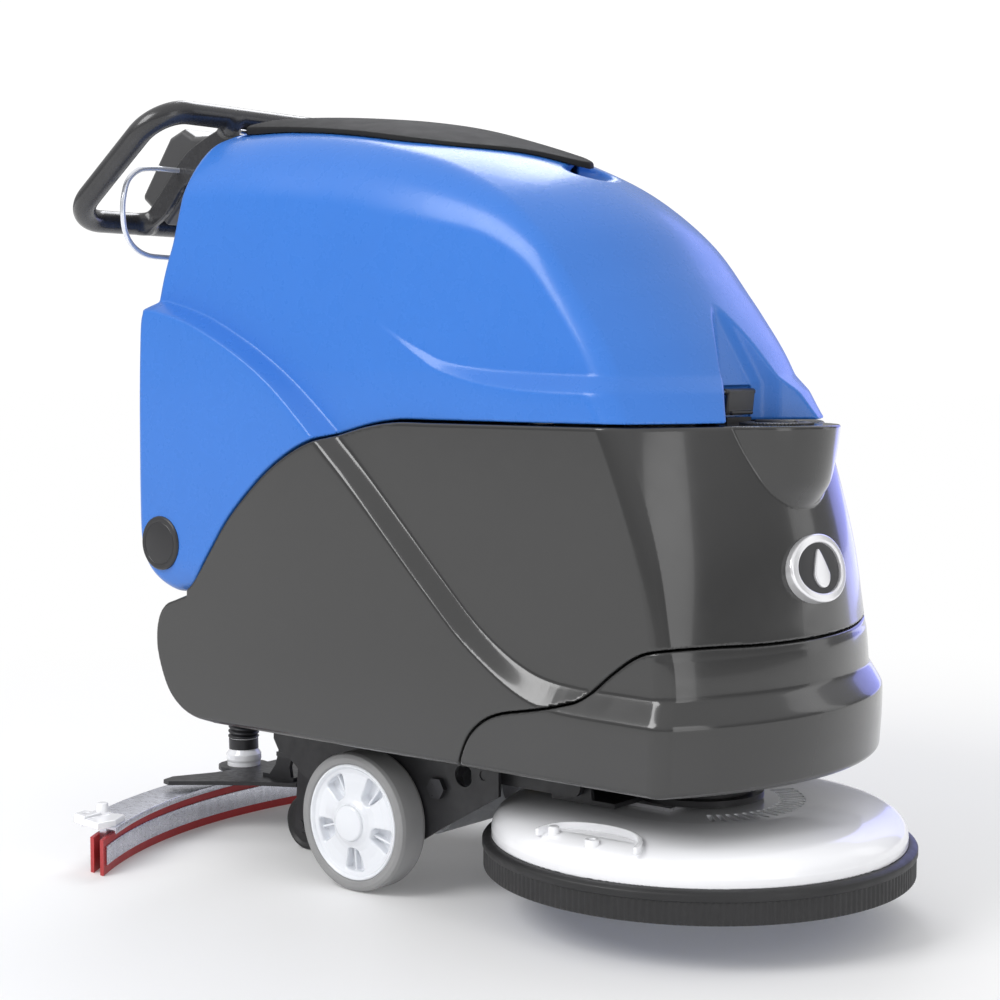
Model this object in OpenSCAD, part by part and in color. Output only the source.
// Walk-behind floor scrubber: a single disc brush in front, a tilting
// recovery tank over a solution tank, and a curved squeegee behind.
// Millimetres. +X is the travel direction, +Y the operator's left, +Z up,
// and z = 0 is the floor. Stations along the machine are measured from the
// brush axis; place() moves them so that the origin is the middle of the
// footprint.

/* [Body] */
// Half width of the two tanks
half_w = 260; // [255:1:262]
// Height of the flat bottom of the solution tank
tank_bottom = 205.5; // [204:0.5:207]
// Height of the split between the two tanks
deck_z = 634; // [630:1:636]
// Wall thickness of the moulded front cover
cover_wall = 4; // [3:0.5:5]
// Bluntness of the rounded nose, higher is squarer
nose_n = 2.25; // [2:0.05:2.6]
// Width of the scoop in the recovery tank's nose
scoop_w = 180; // [150:2:184]

/* [Wheels] */
// Drive wheel radius
wheel_r = 94; // [92:1:95]
// Drive tyre width
wheel_w = 50; // [44:1:50]
// Number of pockets in the drive rim
rim_pockets = 5; // [4:1:7]
// Rear caster wheel radius
caster_r = 40; // [36:1:40]

/* [Brush deck] */
// Outer radius of the splash skirt
skirt_r = 280; // [276:1:282]
// Radius of the scrubbing brush
brush_r = 254; // [240:1:256]
// Height of the brush tips above the floor with the deck raised
brush_lift = 57; // [55:1:58]
// Number of ribs around the skirt
skirt_ribs = 60; // [24:4:72]
// Number of cooling slots in the deck cover
vent_slots = 18; // [8:1:20]

/* [Squeegee] */
// Radius of the curved front blade
squeegee_r = 675.5; // [670:0.5:680]
// Half width of the squeegee across the floor
squeegee_half = 385; // [360:1:388]
// Blade height
blade_h = 50; // [46:1:52]

/* [Handle] */
// Diameter of the handle tube
tube_d = 29; // [26:0.5:30]
// Half width of the handle loop
handle_half = 240; // [236:1:245]
// Diameter of the bail lever's rod
bail_d = 8; // [7:0.5:9]

/* [Hidden] */
$fn = 96;
x_shift = 344.75;                       // brush axis from mid footprint
clearance = 0.05;                       // radial running clearance
// pivots and axes: side-view place (x, z) and pin radius
hinge_x = -744;      hinge_z = 454;     hinge_pin_r = 8;    // recovery tank
axle_x = -408;       axle_z = 94;       axle_r = 10;        // drive axle
arm_x = -218;        arm_z = 176;       arm_pin_r = 7;      // deck arm, chassis end
link_z = 247;                           link_pin_r = 5;     // deck's upper link
deck_pivot_x = -88;                     // arm and link pivots on the deck
lift_x = -640;       lift_z = 188;      lift_pin_r = 6;     // squeegee arm hinge
pedal_x = -560;      pedal_z = 128;     pedal_pin_r = 6;    // lift pedal
lever_x = -780;      lever_z = 300;     lever_pin_r = 5;    // squeegee lever
lid_pin_x = -682;    lid_pin_z = 1039;  lid_pin_r = 3;      // lid hinge
latch_x = 57;        latch_z = 674;     latch_pin_r = 2;    // nose latch
bolt_x = -295;       bolt_z = 149;      bolt_r = 6;         // frame bolt
front_bar_x = -755;  front_bar_z = 1066;                    // handle front bar
rear_bar_x = -955;   rear_bar_z = 920;                      // handle rear bar
bail_x = -869;       bail_z = 999;                          // bail lever pivot
cuff_x = -855;                          // suction cuff and squeegee swing axis
squeegee_x = -171.5;                    // centre of the squeegee's arcs
panel_x = -933;      panel_z = 1009.5;  // middle of the control panel
panel_tilt = -53.24;
// colours shared by several nodes
grey = "#4b4b4d";
black = "#2a2a2c";
steel = "#b9bcc0";

// ---- curve helpers ----------------------------------------------------
// Catmull-Rom point between start and end
function spline_point(before, start, end, after, t) =
    0.5 * (2 * start + (end - before) * t
         + (2 * before - 5 * start + 4 * end - after) * t * t
         + (3 * start - before - 3 * end + after) * t * t * t);
// smooth open curve through points
function curve(points, steps = 2) = [
    for (i = [0:len(points) - 2]) for (k = [0:steps - 1])
        spline_point(points[max(i - 1, 0)], points[i], points[i + 1],
            points[min(i + 2, len(points) - 1)], k / steps),
    points[len(points) - 1]];
function near(here, next) = abs(here[0] - next[0]) + abs(here[1] - next[1]) < 0.02;
// the same closed outline without repeated points
function clean(points) = [for (i = [0:len(points) - 1])
    if (!near(points[i], points[(i + 1) % len(points)])) points[i]];
function reversed(points) = [for (i = [len(points) - 1:-1:0]) points[i]];
function sign_of(value) = value < 0 ? -1 : 1;
function arc(x, y, radius, from, to, steps) = [for (i = [0:steps])
    let (angle = from + (to - from) * i / steps)
    [x + radius * cos(angle), y + radius * sin(angle)]];
// superelliptic nose from y = -half to y = +half; the sides start at side_x
nose_steps = 28;
function nose(tip, half, side_x) = [for (i = [0:nose_steps])
    let (angle = -90 + 180 * i / nose_steps, c = abs(cos(angle)), s = abs(sin(angle)))
    [side_x + (tip - side_x) * pow(c, 2 / nose_n),
        half * sign_of(sin(angle)) * pow(s, 2 / nose_n)]];
// plan outline of a body: square-ish tail, rounded nose
function plan(tip, rear, half, corner, side_x = -30) = concat(
    nose(tip, half, side_x),
    arc(rear + corner, half - corner, corner, 90, 180, 4),
    arc(rear + corner, -half + corner, corner, 180, 270, 4));

// ---- solid helpers ----------------------------------------------------
// slab of a side-view outline (x, z)
module side_slab(outline, y0, y1) translate([0, y1, 0]) rotate([90, 0, 0])
    linear_extrude(y1 - y0) polygon(clean(outline));
// slab of a plan outline (x, y)
module plan_slab(outline, z0, z1) translate([0, 0, z0])
    linear_extrude(z1 - z0) polygon(clean(outline));
// slab of a front-view outline (y, z)
module front_slab(outline, x0, x1) translate([x0, 0, 0]) rotate([90, 0, 90])
    linear_extrude(x1 - x0) polygon(clean(outline));
// cylinders along each axis
module xcyl(y, z, radius, x0, x1) translate([x0, y, z]) rotate([0, 90, 0])
    cylinder(r = radius, h = x1 - x0);
module ycyl(x, z, radius, y0, y1) translate([x, y1, z]) rotate([90, 0, 0])
    cylinder(r = radius, h = y1 - y0);
module zcyl(x, y, radius, z0, z1) translate([x, y, z0])
    cylinder(r = radius, h = z1 - z0);
// box between two opposite corners
module box(low, high) translate(low) cube(high - low);
// the children on the left, and mirrored on the right
module both() {
    children();
    mirror([0, 1, 0]) children();
}
module place() translate([x_shift, 0, 0]) children();
module on_panel() translate([panel_x, 0, panel_z]) rotate([0, panel_tilt, 0]) children();

// ---- shared side-view contours (x, z) ---------------------------------
// split line of the lower tank, from the tail up to the deck
seam = curve([[-692, 390], [-672, 409], [-641, 450], [-609, 491],
    [-569, 530], [-520, 569], [-462, 600], [-397, 619], [-352, 629],
    [-300, deck_z]]);
// split line between the lower tank and the front cover
cover_seam = curve([[-187, 208], [-167, 249], [-119, 279], [-56, 292],
    [-4, 308], [33, 339], [69, 366], [111, 380], [178, 386]], 3);
tank_tail = curve([[-645, tank_bottom], [-676, 210], [-707, 222], [-732, 244],
    [-749, 278], [-757, 313], [-752, 346], [-737, 366], [-715, 374],
    [-692, 381]]);
tank_nose = curve([[178, 386], [174, 420], [163, 480], [151, 530],
    [138, 580], [119, deck_z]]);
// line where the lid sits
lid_line = curve([[-690, 1031], [-628, 1033], [-569, 1032], [-482, 1020],
    [-381, 1002], [-242, 985], [-198, 972]]);

// ---- chassis ----------------------------------------------------------
plate_in = 167.5;      // inner and outer faces of the side plates
plate_out = 172.5;
frame_low = 199;       // underside and top of the tank flanges
frame_top = 203;
caster_x = -580;       // caster swivel axis
caster_y = 90;
stem_r = 8;            // caster swivel stem
side_plate = [[-193, 203], [-193, 151], [-290, 95], [-350, 58], [-466, 58],
    [-520, 110], [-578, 153], [-598, 160], [-608, 176], [-608, 203]];
arm_ear = [[-600, 199], [-600, 156], [-625, 166], [-655, 176], [-655, 199]];
link_ear = [[-236, 222], [-236, 262], [-205, 262], [-205, 236], [-214, 222]];

module chassis_frame() color(black) {
    difference() {
        union() {
            both() {
                difference() {
                    side_slab(side_plate, plate_in, plate_out);
                    ycyl(-252, 171, 15, 160, 180);
                }
                // flange that carries the tank
                box([-600, 130, frame_low], [-200, plate_in, frame_top]);
                side_slab(arm_ear, 46, 52);
            }
            // front and rear cross members
            box([-243, -plate_in, 166], [-235, plate_in, frame_low]);
            box([-608, -plate_in, 150], [-505, plate_in, 156]);
            box([-608, -52, 156], [-600, 52, frame_low]);
            // post for the upper deck link
            box([-243, -20, frame_low], [-235, 20, 262]);
            both() side_slab(link_ear, 11, 17);
        }
        // bores for the axle, pivots, caster stems and bolts
        ycyl(axle_x, axle_z, axle_r + clearance, -180, 180);
        both() ycyl(arm_x, arm_z, arm_pin_r + clearance, 160, 180);
        ycyl(arm_x, link_z, link_pin_r + clearance, -30, 30);
        ycyl(lift_x, lift_z, lift_pin_r + clearance, -60, 60);
        both() zcyl(caster_x, caster_y, stem_r + clearance, 140, 170);
        both() ycyl(bolt_x, bolt_z, 6.2, 160, 180);
    }
    // pivot for the lift pedal
    ycyl(pedal_x, pedal_z, pedal_pin_r, 172, 190);
    box([pedal_x - 14, 172, 120], [pedal_x + 14, 175.5, 190]);
}
module pins_and_bolts() color(steel) both() {
    // frame bolt and its hexagonal head
    ycyl(bolt_x, bolt_z, bolt_r, 160, plate_out);
    translate([bolt_x, plate_out, bolt_z]) rotate([-90, 0, 0])
        cylinder(r = 15, h = 8, $fn = 6);
    // recovery tank hinge pin
    ycyl(hinge_x, hinge_z, hinge_pin_r, 198, 238);
    ycyl(hinge_x, hinge_z, 13, 198, 200.9);
    // axle washer
    difference() {
        ycyl(axle_x, axle_z, 18, 224.3, 226.3);
        ycyl(axle_x, axle_z, axle_r + clearance, 220, 230);
    }
}
module axle_shaft() color(steel) ycyl(axle_x, axle_z, axle_r, -229, 229);
module drive_transaxle() color("#8f9296") difference() {
    union() {
        ycyl(axle_x, axle_z, 46, -60, 60);
        both() ycyl(axle_x, axle_z, 26, 60, 167.4);
        // barrel pointing forward and slightly up
        translate([axle_x, 0, axle_z + 10]) rotate([0, 80, 0])
            cylinder(r = 34, h = 110);
        box([axle_x - 30, -40, axle_z + 30], [axle_x + 30, 40, frame_top]);
    }
    ycyl(axle_x, axle_z, axle_r + clearance, -180, 180);
    // trimmed flush with the underside of the flanges
    box([axle_x - 200, -100, frame_low], [axle_x + 200, 100, 260]);
}

// ---- solution tank ----------------------------------------------------
tank_wall = 7;         // wall of both tanks
filler_x = 112;        // filler axis
cap_z = deck_z - 5.9;  // underside of the filler cap's disc
badge_z = 459;         // middle of the nose badge
drain_y = 205;         // drain outlet in the tail
drain_z = 236;
well_z = 262;          // floor of the battery well
battery_top = 478;
cover_tip = 211;       // front of the front cover
// side view of the water space
water_side = [[-640, 214], [-200, 214], [-190, 256], [-130, 290], [-60, 304],
    [-8, 320], [26, 350], [62, 378], [108, 394], [158, 398], [156, 470],
    [141, 540], [112, 624], [-300, 624], [-345, 618], [-392, 609],
    [-456, 590], [-512, 560], [-560, 522], [-598, 484], [-630, 443],
    [-662, 402], [-690, 366], [-735, 352], [-748, 313], [-740, 280],
    [-722, 248], [-700, 228], [-670, 217]];
// side view of the front cover, its top edge 2.5 below the seam
cover_side = concat([[-187, tank_bottom]],
    [for (point = cover_seam) [point[0], point[1] - 2.5]],
    [[187, 345], [192, 318], [208, 296], [211, 272], [208, 240],
    [203, tank_bottom]]);
// front view of an oval centred on the badge
function badge_oval(half_y, half_z) = [for (i = [0:47])
    [half_y * cos(i * 7.5), badge_z + half_z * sin(i * 7.5)]];

module tank_outer() {
    intersection() {
        side_slab(concat(tank_tail, seam, reversed(tank_nose), reversed(cover_seam)),
            -half_w, half_w);
        plan_slab(plan(180, -757, half_w, 24), 150, 700);
    }
    // lip of the filler
    translate([72, 0, 530]) cylinder(r1 = 79, r2 = 110, h = deck_z - 530);
}
module motor_recess(grow = 0)
    box([-246 - grow, -132 - grow, 100], [112 + grow, 132 + grow, 352 + grow]);
module solution_tank() color(grey) difference() {
    tank_outer();
    // water space, leaving walls around the wells and bracket slots
    difference() {
        intersection() {
            side_slab(water_side, -half_w + tank_wall, half_w - tank_wall);
            plan_slab(plan(170, -750, half_w - tank_wall, 20), 150, 700);
        }
        motor_recess(tank_wall);
        box([-551, -199, well_z - 6], [-119, 199, 700]);
        both() box([-708, 193, 358], [-562, 215, 600]);
    }
    motor_recess();
    // battery well, open at the top
    box([-545, -193, well_z], [-125, 193, 700]);
    // filler mouth
    zcyl(filler_x, 0, 38, 578, 658);
    zcyl(filler_x, 0, 46, deck_z - 6, deck_z + 14);
    // seat for the nose badge
    front_slab(badge_oval(65.4, 40.4), 162, 222);
    // drain outlet at the tail
    xcyl(drain_y, drain_z, 10, -770, -704);
    // slots for the hinge brackets
    both() box([-700, 200.5, 365], [-570, 207.5, 560]);
}
module front_cover() color(grey) difference() {
    intersection() {
        side_slab(cover_side, -half_w, half_w);
        plan_slab(plan(cover_tip, -400, half_w, 10), 150, 700);
    }
    intersection() {
        box([-300, -half_w + cover_wall, 100],
            [185 - cover_wall, half_w - cover_wall, 500]);
        plan_slab(plan(cover_tip - 12, -500, half_w - cover_wall, 10), 100, 500);
    }
}
module filler_cap() color(black) {
    zcyl(filler_x, 0, 45.5, cap_z, cap_z + 8);
    zcyl(filler_x, 0, 34, cap_z + 8, cap_z + 11);
    zcyl(filler_x, 0, 37.5, 610, cap_z);
}
module front_badge() color("silver") difference() {
    front_slab(badge_oval(65, 40), 162.2, 179.2);
    front_slab(badge_oval(57, 32), 176.4, 193.4);
}

// ---- batteries and electronics ----------------------------------------
battery_fronts = [-346, -168];   // front face of each battery
terminal_y = 130;
terminal_inset = 30;             // terminal behind the front face

module batteries() color("#36383c") {
    battery_cases();
    battery_terminals();
}
module battery_cases() for (x = battery_fronts) difference() {
    box([x - 172, -165, well_z], [x, 165, battery_top]);
    for (y = [-terminal_y, terminal_y])
        zcyl(x - terminal_inset, y, 11, 470, 490);
}
module battery_terminals() {
    for (x = battery_fronts) for (y = [-terminal_y, terminal_y])
        zcyl(x - terminal_inset, y, 8, 470, 486);
    // link bar between the two batteries
    box([-390, terminal_y - 10, 486], [-184, terminal_y + 10, 489]);
}
module power_electronics() color("#6d7076") {
    charger();
    control_unit();
}
// grooves across the top leave cooling fins
module charger() difference() {
    box([-400, -90, battery_top], [-240, 90, 560]);
    for (i = [0:8]) box([-395 + i * 17, -100, 545], [-388 + i * 17, 100, 570]);
}
// three blocks stand in a row on top
module control_unit() {
    box([-225, -70, battery_top], [-135, 70, 530]);
    for (i = [-1:1]) box([-200, i * 40 - 12, 530], [-160, i * 40 + 12, 540]);
}

// ---- fittings on the lower tank ---------------------------------------
valve_y = 80;
filter_z = 178;        // axis of the in-line filter and valve outlet
hose_x = -797;         // upper vacuum hose
lever_bracket = [[-745, 330], [-745, 270], [-786, 290], [-793, 300], [-786, 310]];
lever_side = [[-780, 310], [-848, 282], [-852, 268], [-840, 266], [-780, 290]];
pedal_side = [[-560, 140], [-560, 116], [-640, 120], [-760, 134],
    [-800, 140], [-800, 152], [-740, 152], [-640, 138]];

module hinge_brackets() color(black) both() difference() {
    side_slab(concat(arc(hinge_x, hinge_z, 24, 30, 250, 10), [[-690, 396],
        [-690, 370], [-575, 370], [-575, 455], [-640, 455]]), 201, 207);
    ycyl(hinge_x, hinge_z, hinge_pin_r + clearance, 190, 220);
}
module solution_valve() color("#b08d3a") {
    box([-300, valve_y - 20, 160], [-262, valve_y + 20, tank_bottom]);
    zcyl(-281, valve_y, 13, 140, 160);
    xcyl(valve_y, filter_z, 8, -262, -248);
    // in-line filter and its pipe
    xcyl(valve_y, filter_z, 20, -330, -300);
    xcyl(valve_y, filter_z, 9, -360, -329);
}
module solution_drain_hose() color("#d8dde0") {
    xcyl(drain_y, drain_z, 9.9, -777, -715);
    zcyl(-777, drain_y, 9.9, 226, 340);
}
module vacuum_hose_upper() color(black) difference() {
    zcyl(hose_x, 0, 25, 268, 344);
    zcyl(hose_x, 0, 20, 260, 350);
}
module hose_clip() difference() {
    union() {
        zcyl(hose_x, 0, 31, 300, 320);
        box([-790, -14, 300], [-758, 14, 320]);
    }
    zcyl(hose_x, 0, 25, 290, 330);
    tank_outer();
}
module rear_brackets() color(black) {
    hose_clip();
    // bracket and pivot for the squeegee lever
    difference() {
        union() {
            side_slab(lever_bracket, 131, 137);
            box([-764, 116, 272], [-740, 152, 328]);
        }
        tank_outer();
    }
    ycyl(lever_x, lever_z, lever_pin_r, 119, 132);
}
module squeegee_lever() color("#b5202a") difference() {
    union() {
        ycyl(lever_x, lever_z, 13, 122, 130);
        side_slab(lever_side, 122, 130);
        // grip
        ycyl(-846, 274, 10, 104, 148);
    }
    ycyl(lever_x, lever_z, lever_pin_r + clearance, 110, 140);
}
module lift_pedal() color(black) difference() {
    union() {
        ycyl(pedal_x, pedal_z, 16, 176, 186);
        side_slab(pedal_side, 176, 186);
        // foot pad
        box([-812, 150, 148], [-768, 212, 156]);
    }
    ycyl(pedal_x, pedal_z, pedal_pin_r + clearance, 160, 200);
}

// ---- drive wheels and casters -----------------------------------------
// side is 1 for the left, -1 for the right
wheel_face = 224;              // y of the wheels' outer faces
tyre_half = wheel_w / 2;
rim_r = 78.5;
tyre_round = 8;                // radius of the tyre's shoulders
caster_trail = 34;             // caster axle behind the swivel axis
fork_axle_z = 40;
fork_axle_r = 5;
// half sections (radius, station along the axle)
tyre_section = concat(
    [[rim_r, -tyre_half + 3], [rim_r, tyre_half - 3], [81, tyre_half - 1]],
    arc(wheel_r - tyre_round, tyre_half - tyre_round, tyre_round, 90, 0, 5),
    arc(wheel_r - tyre_round, -tyre_half + tyre_round, tyre_round, 0, -90, 5),
    [[81, -tyre_half + 1]]);
rim_section = [[axle_r + clearance, -tyre_half + 0.5], [26, -tyre_half + 0.5],
    [26, 4], [66, -4], [71, -tyre_half + 3], [rim_r, -tyre_half + 3],
    [rim_r, tyre_half - 3], [75, tyre_half - 3], [71, tyre_half - 8],
    [66, tyre_half - 14], [34, tyre_half - 6], [26, tyre_half - 2],
    [axle_r + clearance, tyre_half - 2]];
hub_cap_section = [[20, 0], [25, 0], [25, 6], [22, 9], [0, 10], [0, 7.6], [20, 7]];
caster_section = concat(
    [[fork_axle_r + clearance, -16], [14, -16], [18, -12], [30, -12]],
    arc(caster_r - 6, -9, 6, -90, 0, 4), arc(caster_r - 6, 9, 6, 0, 90, 4),
    [[30, 12], [18, 12], [14, 16], [fork_axle_r + clearance, 16]]);
// fork cheek, side view from the swivel axis
fork_cheek = [[-41, 118], [17, 118], [10, 96], [-20, 34], [-34, 26],
    [-46, 34], [-46, 60]];

module drive_tyre(side) color("#6f7072")
    translate([axle_x, side * (wheel_face - tyre_half), axle_z]) rotate([90, 0, 0])
    rotate_extrude($fn = 128) polygon(tyre_section);
module rim(side) translate([axle_x, side * (wheel_face - tyre_half), axle_z])
    rotate([0, 0, side > 0 ? 0 : 180]) rotate([-90, 0, 0]) difference() {
        rotate_extrude($fn = 128) polygon(rim_section);
        // pockets in the outer face
        for (i = [0:rim_pockets - 1]) rotate([0, 0, i * 360 / rim_pockets + 90])
            translate([0, 0, 2]) linear_extrude(60) polygon(concat(
                arc(0, 0, 62, -25, 25, 6), arc(0, 0, 36, 17, -17, 4)));
    }
module hub_cap(side) translate([axle_x, side * (wheel_face - 2), axle_z])
    rotate([-side * 90, 0, 0]) rotate_extrude($fn = 64) polygon(hub_cap_section);
module drive_rim(side) color("white") {
    rim(side);
    hub_cap(side);
}
module caster_fork(side) color(black) translate([caster_x, side * caster_y, 0]) {
    zcyl(0, 0, stem_r, 138, 160);
    zcyl(0, 0, 24, 130, 149.5);
    // crown
    translate([-12, 0, 118]) linear_extrude(12) square([58, 44], center = true);
    for (y = [-20, 20]) side_slab(fork_cheek, y - 2, y + 2);
    ycyl(-caster_trail, fork_axle_z, fork_axle_r, -24, 24);
}
module caster_wheel(side) color("#303032")
    translate([caster_x - caster_trail, side * caster_y, caster_r])
    rotate([90, 0, 0]) rotate_extrude($fn = 96) polygon(caster_section);
module drive_tyre_right() drive_tyre(-1);
module drive_tyre_left() drive_tyre(1);
module drive_rim_right() drive_rim(-1);
module drive_rim_left() drive_rim(1);
module caster_fork_right() caster_fork(-1);
module caster_fork_left() caster_fork(1);
module caster_wheel_right() caster_wheel(-1);
module caster_wheel_left() caster_wheel(1);

// ---- brush deck, centred on the brush axis ----------------------------
motor_z = 154;         // underside of the motor flange and the carrier
carrier_top = 160;
cover_low = 100;       // joint between the skirt and the deck cover
brush_back = 86;       // underside of the brush's disc
shaft_r = 12;          // motor shaft
arm_lug = [[-110, 160], [-66, 160], [-70, 190], [-104, 190]];
link_lug = [[-112, 160], [-86, 160], [-76, 234], [-76, 260], [-100, 260],
    [-100, 234]];
// half sections (radius, z)
deck_cover_section = concat([[268, cover_low], [268, 112]],
    curve([[268, 112], [264, 124], [252, 136], [232, 144], [200, 148.5],
    [150, 150]]), [[40, 150], [40, 144], [150, 144], [198, 142.5],
    [229, 138.5], [246, 131], [257, 121], [261, 110], [261, cover_low]]);
skirt_section = [[264, 60], [skirt_r - 1.6, 60], [skirt_r - 1.6, 88],
    [skirt_r, 89], [skirt_r, 97], [skirt_r - 3, cover_low], [262, cover_low],
    [262, 92], [264, 90]];

module deck_lower_arms() color(black) {
    both() {
        side_slab(concat(arc(arm_x, arm_z, 13, 90, 270, 6),
            arc(deck_pivot_x, arm_z, 13, -90, 90, 6)), 146, 154);
        ycyl(arm_x, arm_z, arm_pin_r, 154, 171);
        ycyl(deck_pivot_x, arm_z, arm_pin_r, 132, 146);
    }
    // cross bar
    ycyl(-160, arm_z, 9, -147, 147);
}
module deck_upper_link() color(black) difference() {
    union() {
        for (x = [arm_x, deck_pivot_x]) ycyl(x, link_z, 11, -9, 9);
        box([arm_x, -9, link_z - 6], [deck_pivot_x, 9, link_z + 6]);
        ycyl(arm_x, link_z, link_pin_r, -16, 16);
    }
    ycyl(deck_pivot_x, link_z, 7, -20, 20);
}
module deck_carrier() color(black) {
    difference() {
        union() {
            box([-130, -142, motor_z], [-30, 142, carrier_top]);
            both() side_slab(arm_lug, 136, 142);
            both() side_slab(link_lug, 11, 16);
        }
        ycyl(deck_pivot_x, arm_z, arm_pin_r + clearance, -160, 160);
        // clears the motor flange and body
        zcyl(0, 0, 86, 150, 160.01);
        zcyl(0, 0, 77, carrier_top, 280);
    }
    ycyl(deck_pivot_x, link_z, link_pin_r, -11, 11);
}
module deck_bracket() color(steel) difference() {
    box([-112, -96, 150], [22, 96, motor_z]);
    cylinder(r = 30, h = 300);
}
module brush_motor() color("#3a3c40") {
    zcyl(0, 0, 85, motor_z, 162);
    zcyl(0, 0, 70, 162, 174);
    zcyl(0, 0, 74, 174, 304);
    translate([0, 0, 304]) cylinder(r1 = 74, r2 = 60, h = 16);
    // shaft
    zcyl(0, 0, shaft_r, 84, motor_z);
}
module deck_cover() color("#eceef1") difference() {
    union() {
        rotate_extrude($fn = 160) polygon(deck_cover_section);
        // boss on the right shoulder
        zcyl(0, -246, 9, 126, 142);
    }
    // fan of cooling slots around the front
    for (i = [0:vent_slots - 1]) rotate([0, 0, -49 + i * 107 / (vent_slots - 1)])
        box([106, -2.2, 120], [136, 2.2, 160]);
    // round recess on the right, cut straight on its outer side
    rotate([0, 0, -90]) translate([196, 0, 146.5]) linear_extrude(10)
        intersection() {
            circle(r = 50);
            translate([-60, -60]) square([72, 120]);
        }
}
module deck_skirt() color(black) difference() {
    rotate_extrude($fn = 160) polygon(skirt_section);
    // grooves around the wall
    for (i = [0:skirt_ribs - 1]) rotate([0, 0, i * 360 / skirt_ribs])
        box([skirt_r - 2.4, -1.5, 50], [skirt_r + 4, 1.5, 86.5]);
}
module brush_disc() color("#c8cacd") difference() {
    union() {
        zcyl(0, 0, brush_r - 6, brush_back, 96);
        zcyl(0, 0, 32, 96, 114);
    }
    zcyl(0, 0, shaft_r + clearance, 80, 140);
}
module brush_bristles() color("#2d4f9a") rotate_extrude($fn = 128)
    polygon([[90, brush_lift], [brush_r, brush_lift], [brush_r - 8, brush_back],
        [90, brush_back]]);

// ---- squeegee ---------------------------------------------------------
blade_thick = 6.4;
blades_depth = 25;     // front of the front blade to back of the rear one
strap_thick = 2;
strap_gap = 0.3;       // between a strap and its blade
band_steps = 40;
channel_low = 58;      // underside and top of the channel's plate
channel_top = 62;
knob_x = -788;         // knobs on the end caps
knob_y = 336;
cuff_r = 26;
cuff_neck_r = 21.95;
hose_bend_z = 130;     // where the lower hose starts to lean
arm_side = [[-628, 198], [-628, 178], [-690, 150], [-708, 100], [-704, 78],
    [-756, 78], [-738, 100], [-716, 176], [-652, 198]];
// plan of the yoke's right edge, from the arm to the cuff
yoke_edge = [[-690, -48], [-745, -78], [-800, -118], [-850, -160],
    [-866, -156], [-872, -132], [-862, -110], [-840, -62]];
yoke_plan = concat(yoke_edge, arc(cuff_x, 0, 40, -68, -180, 6),
    arc(cuff_x, 0, 40, 180, 68, 6),
    [for (point = reversed(yoke_edge)) [point[0], -point[1]]]);
end_cap_plan = [[-800, 352], [-812, 330], [-758, 322], [-742, 352],
    [-744, 380], [-806, 372]];

// curved band between two radii, reaching y = -half and +half
module band(inner, outer, half, z0, z1) plan_slab(
    [for (k = [0, 1]) for (i = [0:band_steps])
        let (radius = k ? outer : inner,
            angle = (k ? 1 : -1) * asin(half / radius) * (1 - 2 * i / band_steps))
        [squeegee_x - radius * cos(angle), radius * sin(angle)]], z0, z1);
module squeegee_arm() color(black) {
    both() side_slab(arm_side, 38, 44);
    box([-766, -44, 78], [-700, 44, 84]);
    ycyl(lift_x, lift_z, lift_pin_r, -54, 54);
    squeegee_yoke();
}
module squeegee_yoke() difference() {
    plan_slab(yoke_plan, 72, 78);
    zcyl(cuff_x, 0, cuff_r + clearance, 60, 100);
}
module squeegee_channel() color("#c9ccd6") difference() {
    union() {
        band(665, 729, squeegee_half - 25, channel_low, channel_top);
        band(682, 694, squeegee_half - 12, 30, channel_low);
    }
    zcyl(cuff_x, 0, 20, 20, 80);
}
module front_blade() color("#c03a3a")
    band(squeegee_r, squeegee_r + blade_thick, squeegee_half, 0, blade_h);
module rear_blade() color("#c03a3a")
    band(squeegee_r + blades_depth - blade_thick, squeegee_r + blades_depth,
        squeegee_half - 3, 0, blade_h);
module blade_straps() color("#c9ccd6")
    for (inner = [squeegee_r - strap_gap - strap_thick,
            squeegee_r + blades_depth + strap_gap])
        band(inner, inner + strap_thick, squeegee_half - 8, 12.5, 39.5);
module squeegee_end_caps() color("#e6e8ec") {
    squeegee_knobs();
    squeegee_ends();
}
module squeegee_ends() both() difference() {
    plan_slab(end_cap_plan, channel_top, 70);
    zcyl(-796, 360, 4, 55, 75);
    zcyl(knob_x, knob_y, 5, 55, 75);
}
module squeegee_knobs() both() {
    zcyl(knob_x, knob_y, 4.9, channel_top, 70);
    zcyl(knob_x, knob_y, 9, 70, 84);
    zcyl(knob_x, knob_y, 7, 84, 86);
}
module suction_cuff() color("#eceef1") difference() {
    union() {
        zcyl(cuff_x, 0, cuff_r, channel_top, 88);
        translate([cuff_x, 0, 88]) cylinder(r1 = cuff_r, r2 = cuff_neck_r, h = 12);
        zcyl(cuff_x, 0, cuff_neck_r, 100, 122);
    }
    zcyl(cuff_x, 0, 18, 60, 130);
}
// leaning forward from the top of the hose's upright end
module along_hose() translate([cuff_x, 0, hose_bend_z]) rotate([0, 17, 0]) children();
module vacuum_hose_lower() color(black) {
    difference() {
        zcyl(cuff_x, 0, 26, 100, hose_bend_z);
        zcyl(cuff_x, 0, 22, 90, 150);
    }
    difference() {
        along_hose() cylinder(r = 25, h = 68);
        zcyl(cuff_x, 0, 40, 100, hose_bend_z);
        along_hose() zcyl(0, 0, 20, -10, 80);
    }
}

// ---- recovery tank ----------------------------------------------------
tank_gap = 4;          // between the two tanks
inner_w = half_w - tank_wall;
fan_x = -612;          // vacuum motor axis
fan_z = 874;           // floor of the vacuum motor well
inlet_x = -822;        // suction inlet elbow
inlet_z = 530;
dump_x = -820;         // dirty water drain
dump_y = 130;
dump_z = 470;
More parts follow.
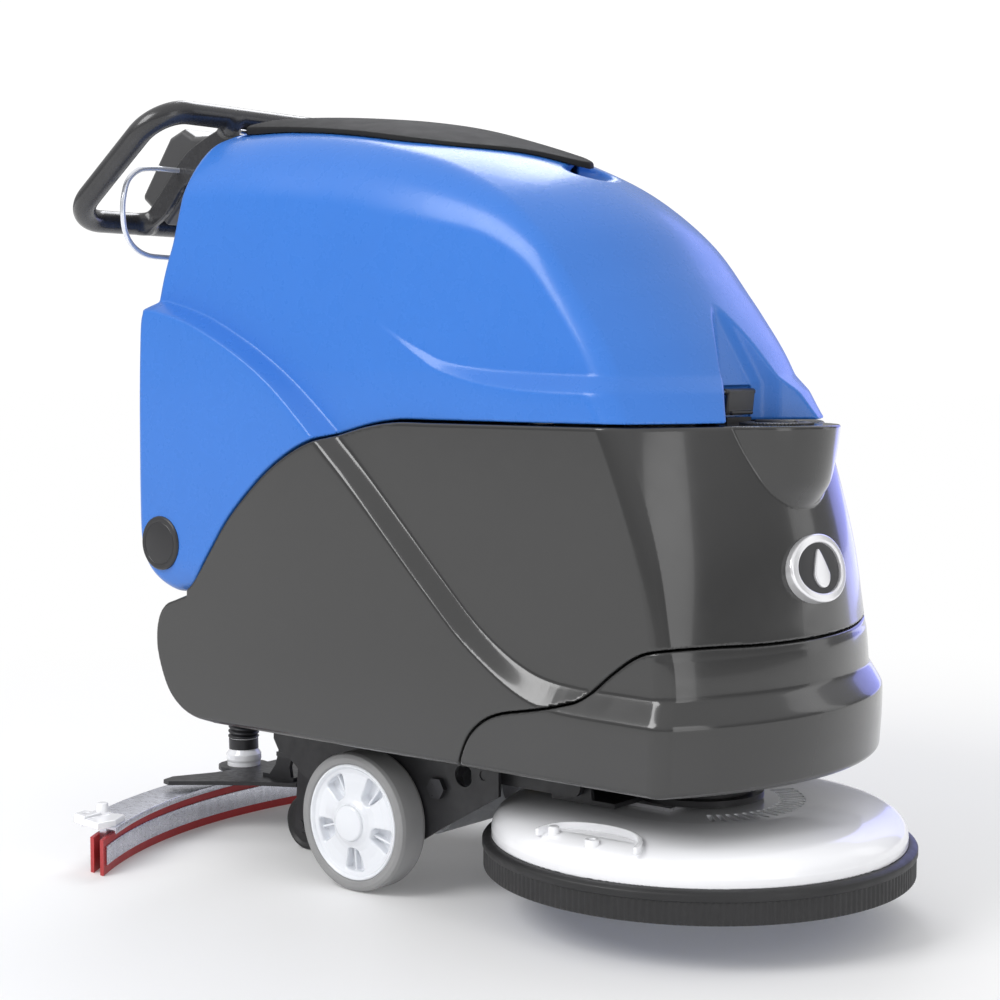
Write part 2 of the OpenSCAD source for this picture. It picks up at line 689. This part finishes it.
// side view of the outside, in three runs
rec_low = concat([[-704, 387], [-695, 393], [-675, 412]],
    [for (i = [4:len(seam) - 2]) [seam[i][0] - 2.5, seam[i][1] + tank_gap]],
    [[-300, deck_z + tank_gap], [118, deck_z + tank_gap]]);
rec_slope = curve([[118, deck_z + 8], [110, 650], [68, 702], [40, 742],
    [5, 788], [-20, 822], [-71, 883], [-135, 934], [-198, 972]]);
rec_back = curve([[-690, 1031], [-704, 985], [-718, 935], [-735, 880],
    [-745, 834], [-750, 808], [-778, 796], [-786, 772], [-790, 740],
    [-793, 600], [-795, 513], [-792, 455], [-779, 420], [-758, 397],
    [-730, 385], [-704, 387]]);
// front view with rounded shoulders (y, z)
rec_arch = concat([[-half_w, 300], [half_w, 300], [half_w, 938]],
    arc(185, 955, 75, 0, 90, 6), [[150, 1034], [150, 1100],
    [-150, 1100], [-150, 1034]], arc(-185, 955, 75, 90, 180, 6));
// section square to the sloping nose
rec_wedge = concat([[-half_w, -900], [half_w, -900], [half_w, 0]],
    arc(180, -6, 80, 4, 84, 6), [[100, 78], [0, 82], [-100, 78]],
    arc(-180, -6, 80, 96, 176, 6));
// the same three views of the dirty water space
dirty_side = [[-706, 430], [-690, 421], [-684, 416], [-655, 462],
    [-622, 503], [-580, 544], [-528, 583], [-467, 612], [-400, 631],
    [-350, 641], [-300, 646], [100, 646], [22, 752], [-18, 803],
    [-62, 856], [-120, 911], [-190, 950], [-242, 974], [-381, 991],
    [-482, 1009], [-569, 1021], [-628, 1022], [-680, 1020], [-696, 975],
    [-712, 925], [-729, 868], [-738, 815], [-742, 790], [-778, 780],
    [-783, 600], [-786, 513], [-784, 458], [-772, 428], [-754, 408],
    [-730, 396]];
dirty_arch = concat([[-inner_w, 300], [inner_w, 300], [inner_w, 930]],
    arc(180, 950, 71, 0, 90, 6), arc(-180, 950, 71, 90, 180, 6), [[-inner_w, 930]]);
dirty_wedge = concat([[-inner_w, -900], [inner_w, -900], [inner_w, -8]],
    arc(180, -14, 72, 4, 84, 5), arc(-180, -14, 72, 96, 176, 5));
bracket_sweep = [[hinge_x, hinge_z + 27], [hinge_x - 100, hinge_z - 130],
    [hinge_x, hinge_z - 200], [hinge_x + 200, hinge_z - 150],
    [hinge_x + 200, hinge_z + 27]];
knuckle_side = [[-700, 1018], [-676, 1034.5], [-674, 1043], [-686, 1046],
    [-700, 1040]];

// slab running along the sloping nose
module slope_slab(outline) translate([-57, 0, 806]) rotate([0, 43.5, 0])
    front_slab(outline, -900, 700);
module rec_outer() intersection() {
    side_slab(concat(rec_low, rec_slope, reversed(lid_line), rec_back),
        -half_w, half_w);
    plan_slab(plan(118, -796, half_w, 20), 300, 1100);
    front_slab(rec_arch, -900, 300);
    union() {
        slope_slab(rec_wedge);
        box([-330, -half_w, 600], [240, half_w, 694]);
    }
}
// round-topped scoop in the nose
module scoop(grow = 0) {
    half = scoop_w / 2 + grow;
    front_slab(concat([[-half, 600], [half, 600]], arc(0, 680, half, 0, 180, 14)),
        54 - grow, 300);
}
module lid_knuckles() both() difference() {
    side_slab(knuckle_side, 151, 157);
    ycyl(lid_pin_x, lid_pin_z, lid_pin_r + clearance, 140, 170);
}
module recovery_tank() color("#2f74dd") difference() {
    union() {
        rec_outer();
        lid_knuckles();
    }
    // dirty water space, leaving walls around everything cut below
    difference() {
        intersection() {
            side_slab(dirty_side, -inner_w, inner_w);
            plan_slab(plan(102, -788, inner_w, 16, -60), 300, 1060);
            front_slab(dirty_arch, -900, 300);
            slope_slab(dirty_wedge);
        }
        scoop(14);
        both() ycyl(hinge_x, hinge_z, 122, 190, 222);
        both() ycyl(hinge_x, hinge_z, 44, 190, 300);
        zcyl(fan_x, 0, 86, 868, 1068);
        box([-900, -60, 500], [-770, 60, 560]);
    }
    scoop();
    // opening under the lid
    plan_slab(plan(-225, -530, 128, 30, -300), 900, 1200);
    // vacuum motor well
    zcyl(fan_x, 0, 78, fan_z, 1174);
    // slots for the hinge brackets, and the pin bores
    both() intersection() {
        ycyl(hinge_x, hinge_z, 116, 197, 213);
        side_slab(bracket_sweep, 190, 220);
    }
    both() ycyl(hinge_x, hinge_z, 27, 197, 213);
    both() ycyl(hinge_x, hinge_z, hinge_pin_r + clearance, 200, 244);
    // suction inlet and drain ports
    xcyl(0, inlet_z, 20, -830, -750);
    xcyl(dump_y, dump_z, 16, -830, -750);
    // trough for the lid's rear edge
    ycyl(lid_pin_x, lid_pin_z, 13.5, -150.5, 150.5);
    // latch pocket
    box([47, -36, 636], [60, 36, 680]);
    // seat for the hinge caps
    both() ycyl(hinge_x, hinge_z, 39.5, half_w - 3, half_w + 5);
}
module hinge_caps() color("#2b2b2d") both() {
    ycyl(hinge_x, hinge_z, 39, half_w - 3, half_w + 1);
    ycyl(hinge_x, hinge_z, 34, half_w + 1, half_w + 2.5);
}

// ---- lid and latch ----------------------------------------------------
lid_side = concat([for (point = lid_line) [point[0], point[1] + 1]],
    curve([[-158, 964], [-163, 974], [-300, 1014], [-441, 1048],
    [-576, 1064], [-650, 1067], [-684, 1060], [-691, 1044]]));
lid_front = [[-150, 900], [150, 900], [150, 1036], [130, 1048], [100, 1057],
    [60, 1064], [0, 1068], [-60, 1064], [-100, 1057], [-130, 1048],
    [-150, 1036]];
lid_hollow_side = [[-655, 1020], [-200, 960], [-200, 978], [-300, 1006],
    [-441, 1040], [-576, 1056], [-655, 1058]];
lid_hollow_front = [[-140, 900], [140, 900], [140, 1032], [90, 1050],
    [0, 1060], [-90, 1050], [-140, 1032]];

module tank_lid() color("#323234") difference() {
    intersection() {
        side_slab(lid_side, -150, 150);
        front_slab(lid_front, -700, -100);
        plan_slab(plan(-157, -691, 150, 30, -330), 900, 1100);
    }
    // hollow underside
    intersection() {
        side_slab(lid_hollow_side, -140, 140);
        front_slab(lid_hollow_front, -700, -100);
    }
    ycyl(lid_pin_x, lid_pin_z, lid_pin_r + clearance, -200, 200);
}
module lid_and_latch_pins() color(steel) {
    ycyl(latch_x, latch_z, latch_pin_r, -36, 36);
    ycyl(lid_pin_x, lid_pin_z, lid_pin_r, -157, 157);
}
module tank_latch() color(black) difference() {
    union() {
        box([54.5, -33, 645], [60, 33, latch_z]);
        ycyl(latch_x, latch_z, 4, -33, 33);
        // finger lip
        box([60, -24, 646], [64, 24, 651]);
    }
    ycyl(latch_x, latch_z, latch_pin_r + clearance, -40, 40);
}
module tank_pads() color(black) {
    both() box([-100, 140, deck_z], [-20, 176, deck_z + 3.8]);
    // catch for the nose latch
    box([44, -28, deck_z], [58, 28, deck_z + 3]);
    box([54.5, -28, deck_z], [58, 28, deck_z + 8]);
}

// ---- inside and behind the recovery tank ------------------------------
float_x = -490;

module vacuum_motor() color("#9a9da3") {
    zcyl(fan_x, 0, 74, fan_z, 914);
    zcyl(fan_x, 0, 52, 914, 984);
    zcyl(fan_x, 0, 20, 984, 1002);
}
module float_cage() color("#e0e3e8") {
    difference() {
        zcyl(float_x, 0, 32, 870, 960);
        zcyl(float_x, 0, 28, 873, 957);
        // four cuts right across make eight windows
        for (angle = [0:45:135]) translate([float_x, 0, 878]) rotate([0, 0, angle])
            box([-40, -6, 0], [40, 6, 70]);
    }
    box([-526, -8, 950], [-520, 8, 960]);
}
module float_ball() color("#d95f30") translate([float_x, 0, 893.5]) sphere(r = 20);
module inlet_elbow() difference() {
    union() {
        xcyl(0, inlet_z, 19.9, inlet_x, -780);
        zcyl(inlet_x, 0, 24, 496, 556);
    }
    zcyl(inlet_x, 0, 18, 490, 546);
    xcyl(0, inlet_z, 15, inlet_x, -762);
}
module dump_hose() difference() {
    union() {
        xcyl(dump_y, dump_z, 15.9, dump_x, -780);
        zcyl(dump_x, dump_y, 19, 455, 800);
    }
    zcyl(dump_x, dump_y, 14, 462, 862);
    xcyl(dump_y, dump_z, 11, dump_x, -760);
}
module rear_hoses() color(black) {
    inlet_elbow();
    dump_hose();
    // plug in the drain hose
    zcyl(dump_x, dump_y, 22, 800, 814);
    zcyl(dump_x, dump_y, 13.9, 780, 800);
}

// ---- console ----------------------------------------------------------
// the panel's own frame has z = 0 on its face and x up the slope
console_half = 99;
controls_x = 10;       // row of controls on the panel
dial_y = 62;           // key switch on the right, speed knob on the left
rocker_y = 26;         // brush rocker on the right, vacuum on the left
key_r = 8;
knob_shaft_r = 6;
console_side = [[-875, 1062], [-902, 1051], [-964, 968], [-964, 962],
    [-912, 923], [-868, 970], [-780, 950], [-700, 930], [-690, 1000],
    [-690, 1030], [-740, 1044], [-853, 1046]];
rocker_side = [[-12, -8], [12, -8], [12, 4], [0, 2], [-12, 1]];

module console() color("#38383a") difference() {
    intersection() {
        side_slab(console_side, -console_half, console_half);
        box([-1000, -console_half, 900], [-600, console_half, 1200]);
    }
    rec_outer();
    // panel seat and electronics bay
    on_panel() box([-44, -88, -3], [44, 88, 10]);
    on_panel() box([-38, -82, -34], [38, 82, 0]);
    both() ycyl(bail_x, bail_z, 6, 90, 120);
    // clears the lid as it opens
    box([-712, -152, 1026], [-600, 152, 1100]);
}
module control_panel() color("#6b6e73") difference() {
    on_panel() box([-43.9, -87.9, -3], [43.9, 87.9, 0]);
    on_panel() {
        zcyl(controls_x, -dial_y, key_r + clearance, -10, 10);
        zcyl(controls_x, dial_y, knob_shaft_r + clearance, -10, 10);
        for (y = [-rocker_y, rocker_y])
            box([controls_x - 14, y - 8, -10], [controls_x + 14, y + 8, 10]);
        // shallow window with a raised pad inside
        difference() {
            box([2, -14, -1.5], [22, 14, 10]);
            box([3, -13, -1.5], [21, 13, -0.6]);
        }
    }
}
module key_switch() color(steel) on_panel() {
    zcyl(controls_x, -dial_y, key_r, -14, 2);
    zcyl(controls_x, -dial_y, 11, 0.5, 2.5);
    // key
    translate([controls_x, -dial_y, 2]) box([-6, -1.2, 0], [6, 1.2, 14]);
}
module speed_knob() color("#222224") on_panel() difference() {
    union() {
        zcyl(controls_x, dial_y, knob_shaft_r, -12, 1);
        translate([controls_x, dial_y, 0.5]) cylinder(r1 = 15, r2 = 13, h = 14);
    }
    // pointer groove
    translate([controls_x, dial_y, 12]) box([6, -0.8, 0], [16, 0.8, 6]);
}
module rocker(y, paint) color(paint) on_panel() translate([controls_x, 0, 0])
    side_slab(rocker_side, y - 7.5, y + 7.5);
module rocker_brush() rocker(-rocker_y, "#2c8a4a");
module rocker_vacuum() rocker(rocker_y, "#b5202a");

// ---- handle -----------------------------------------------------------
bend_r = 52;           // centreline radius of the loop's corners
bail_half = 214;       // half width of the bail
handle_bracket = [[-752, 1062], [-770, 1058], [-850, 1026], [-905, 975],
    [-950, 934], [-958, 918], [-944, 912], [-900, 935], [-858, 980],
    [-800, 1000], [-742, 1040]];

// one 90 degree bend of the handle tube, in the handle plane
module bend(x, y, start) translate([x, y, 0]) rotate([0, 0, start])
    rotate_extrude(angle = 90) translate([bend_r, 0]) circle(d = tube_d);
module handle_frame() color("#2c2c2e") {
    handle_tube();
    handle_brackets();
}
// rounded rectangular loop, x from the rear bar to the front bar
module handle_tube() {
    run = front_bar_x - rear_bar_x;
    rise = front_bar_z - rear_bar_z;
    span = sqrt(run * run + rise * rise);
    corner_y = handle_half - bend_r;
    translate([rear_bar_x, 0, rear_bar_z]) rotate([0, -atan2(rise, run), 0]) {
        for (x = [0, span]) translate([x, corner_y, 0]) rotate([90, 0, 0])
            cylinder(d = tube_d, h = 2 * corner_y);
        for (y = [-handle_half, handle_half]) translate([bend_r, y, 0])
            rotate([0, 90, 0]) cylinder(d = tube_d, h = span - 2 * bend_r);
        bend(bend_r, -corner_y, 180);
        bend(bend_r, corner_y, 90);
        bend(span - bend_r, corner_y, 0);
        bend(span - bend_r, -corner_y, 270);
    }
}
module handle_brackets() both() difference() {
    side_slab(handle_bracket, console_half, console_half + 10);
    ycyl(front_bar_x, front_bar_z, tube_d / 2, 90, 120);
    ycyl(rear_bar_x, rear_bar_z, tube_d / 2, 90, 120);
    ycyl(bail_x, bail_z, bail_d / 2 + clearance, 90, 120);
}
// straight rod between two side-view points at one y
module rod(start, end, y, radius) {
    step = end - start;
    translate([start[0], y, start[1]]) rotate([0, atan2(step[0], step[1]), 0])
        cylinder(r = radius, h = norm(step));
}
// each side runs down from the pivot through a knee to the cross rod
module bail_lever() color("#e8eaee") {
    rod_r = bail_d / 2;
    pivot = [bail_x, bail_z];
    knee = [bail_x - 3, 930];
    foot = [bail_x - 2, 868];
    both() {
        ycyl(bail_x, bail_z, rod_r, 92, bail_half);
        for (joint = [pivot, knee, foot])
            translate([joint[0], bail_half, joint[1]]) sphere(r = rod_r + 0.8);
        rod(pivot, knee, bail_half, rod_r);
        rod(knee, foot, bail_half, rod_r);
    }
    ycyl(foot[0], foot[1], rod_r, -bail_half, bail_half);
}

place() chassis_frame();
place() pins_and_bolts();
place() axle_shaft();
place() drive_transaxle();
place() solution_tank();
place() front_cover();
place() front_badge();
place() batteries();
place() power_electronics();
place() hinge_brackets();
place() solution_valve();
place() solution_drain_hose();
place() rear_brackets();
place() vacuum_hose_upper();
place() tank_pads();
place() filler_cap();
place() drive_tyre_right();
place() drive_rim_right();
place() drive_tyre_left();
place() drive_rim_left();
place() caster_fork_right();
place() caster_fork_left();
place() caster_wheel_right();
place() caster_wheel_left();
place() deck_lower_arms();
place() deck_upper_link();
place() deck_carrier();
place() deck_bracket();
place() brush_motor();
place() deck_cover();
place() deck_skirt();
place() brush_disc();
place() brush_bristles();
place() lift_pedal();
place() squeegee_arm();
place() vacuum_hose_lower();
place() squeegee_channel();
place() front_blade();
place() rear_blade();
place() blade_straps();
place() squeegee_end_caps();
place() suction_cuff();
place() squeegee_lever();
place() recovery_tank();
place() hinge_caps();
place() lid_and_latch_pins();
place() vacuum_motor();
place() float_cage();
place() rear_hoses();
place() console();
place() control_panel();
place() handle_frame();
place() tank_lid();
place() tank_latch();
place() float_ball();
place() key_switch();
place() speed_knob();
place() rocker_brush();
place() rocker_vacuum();
place() bail_lever();
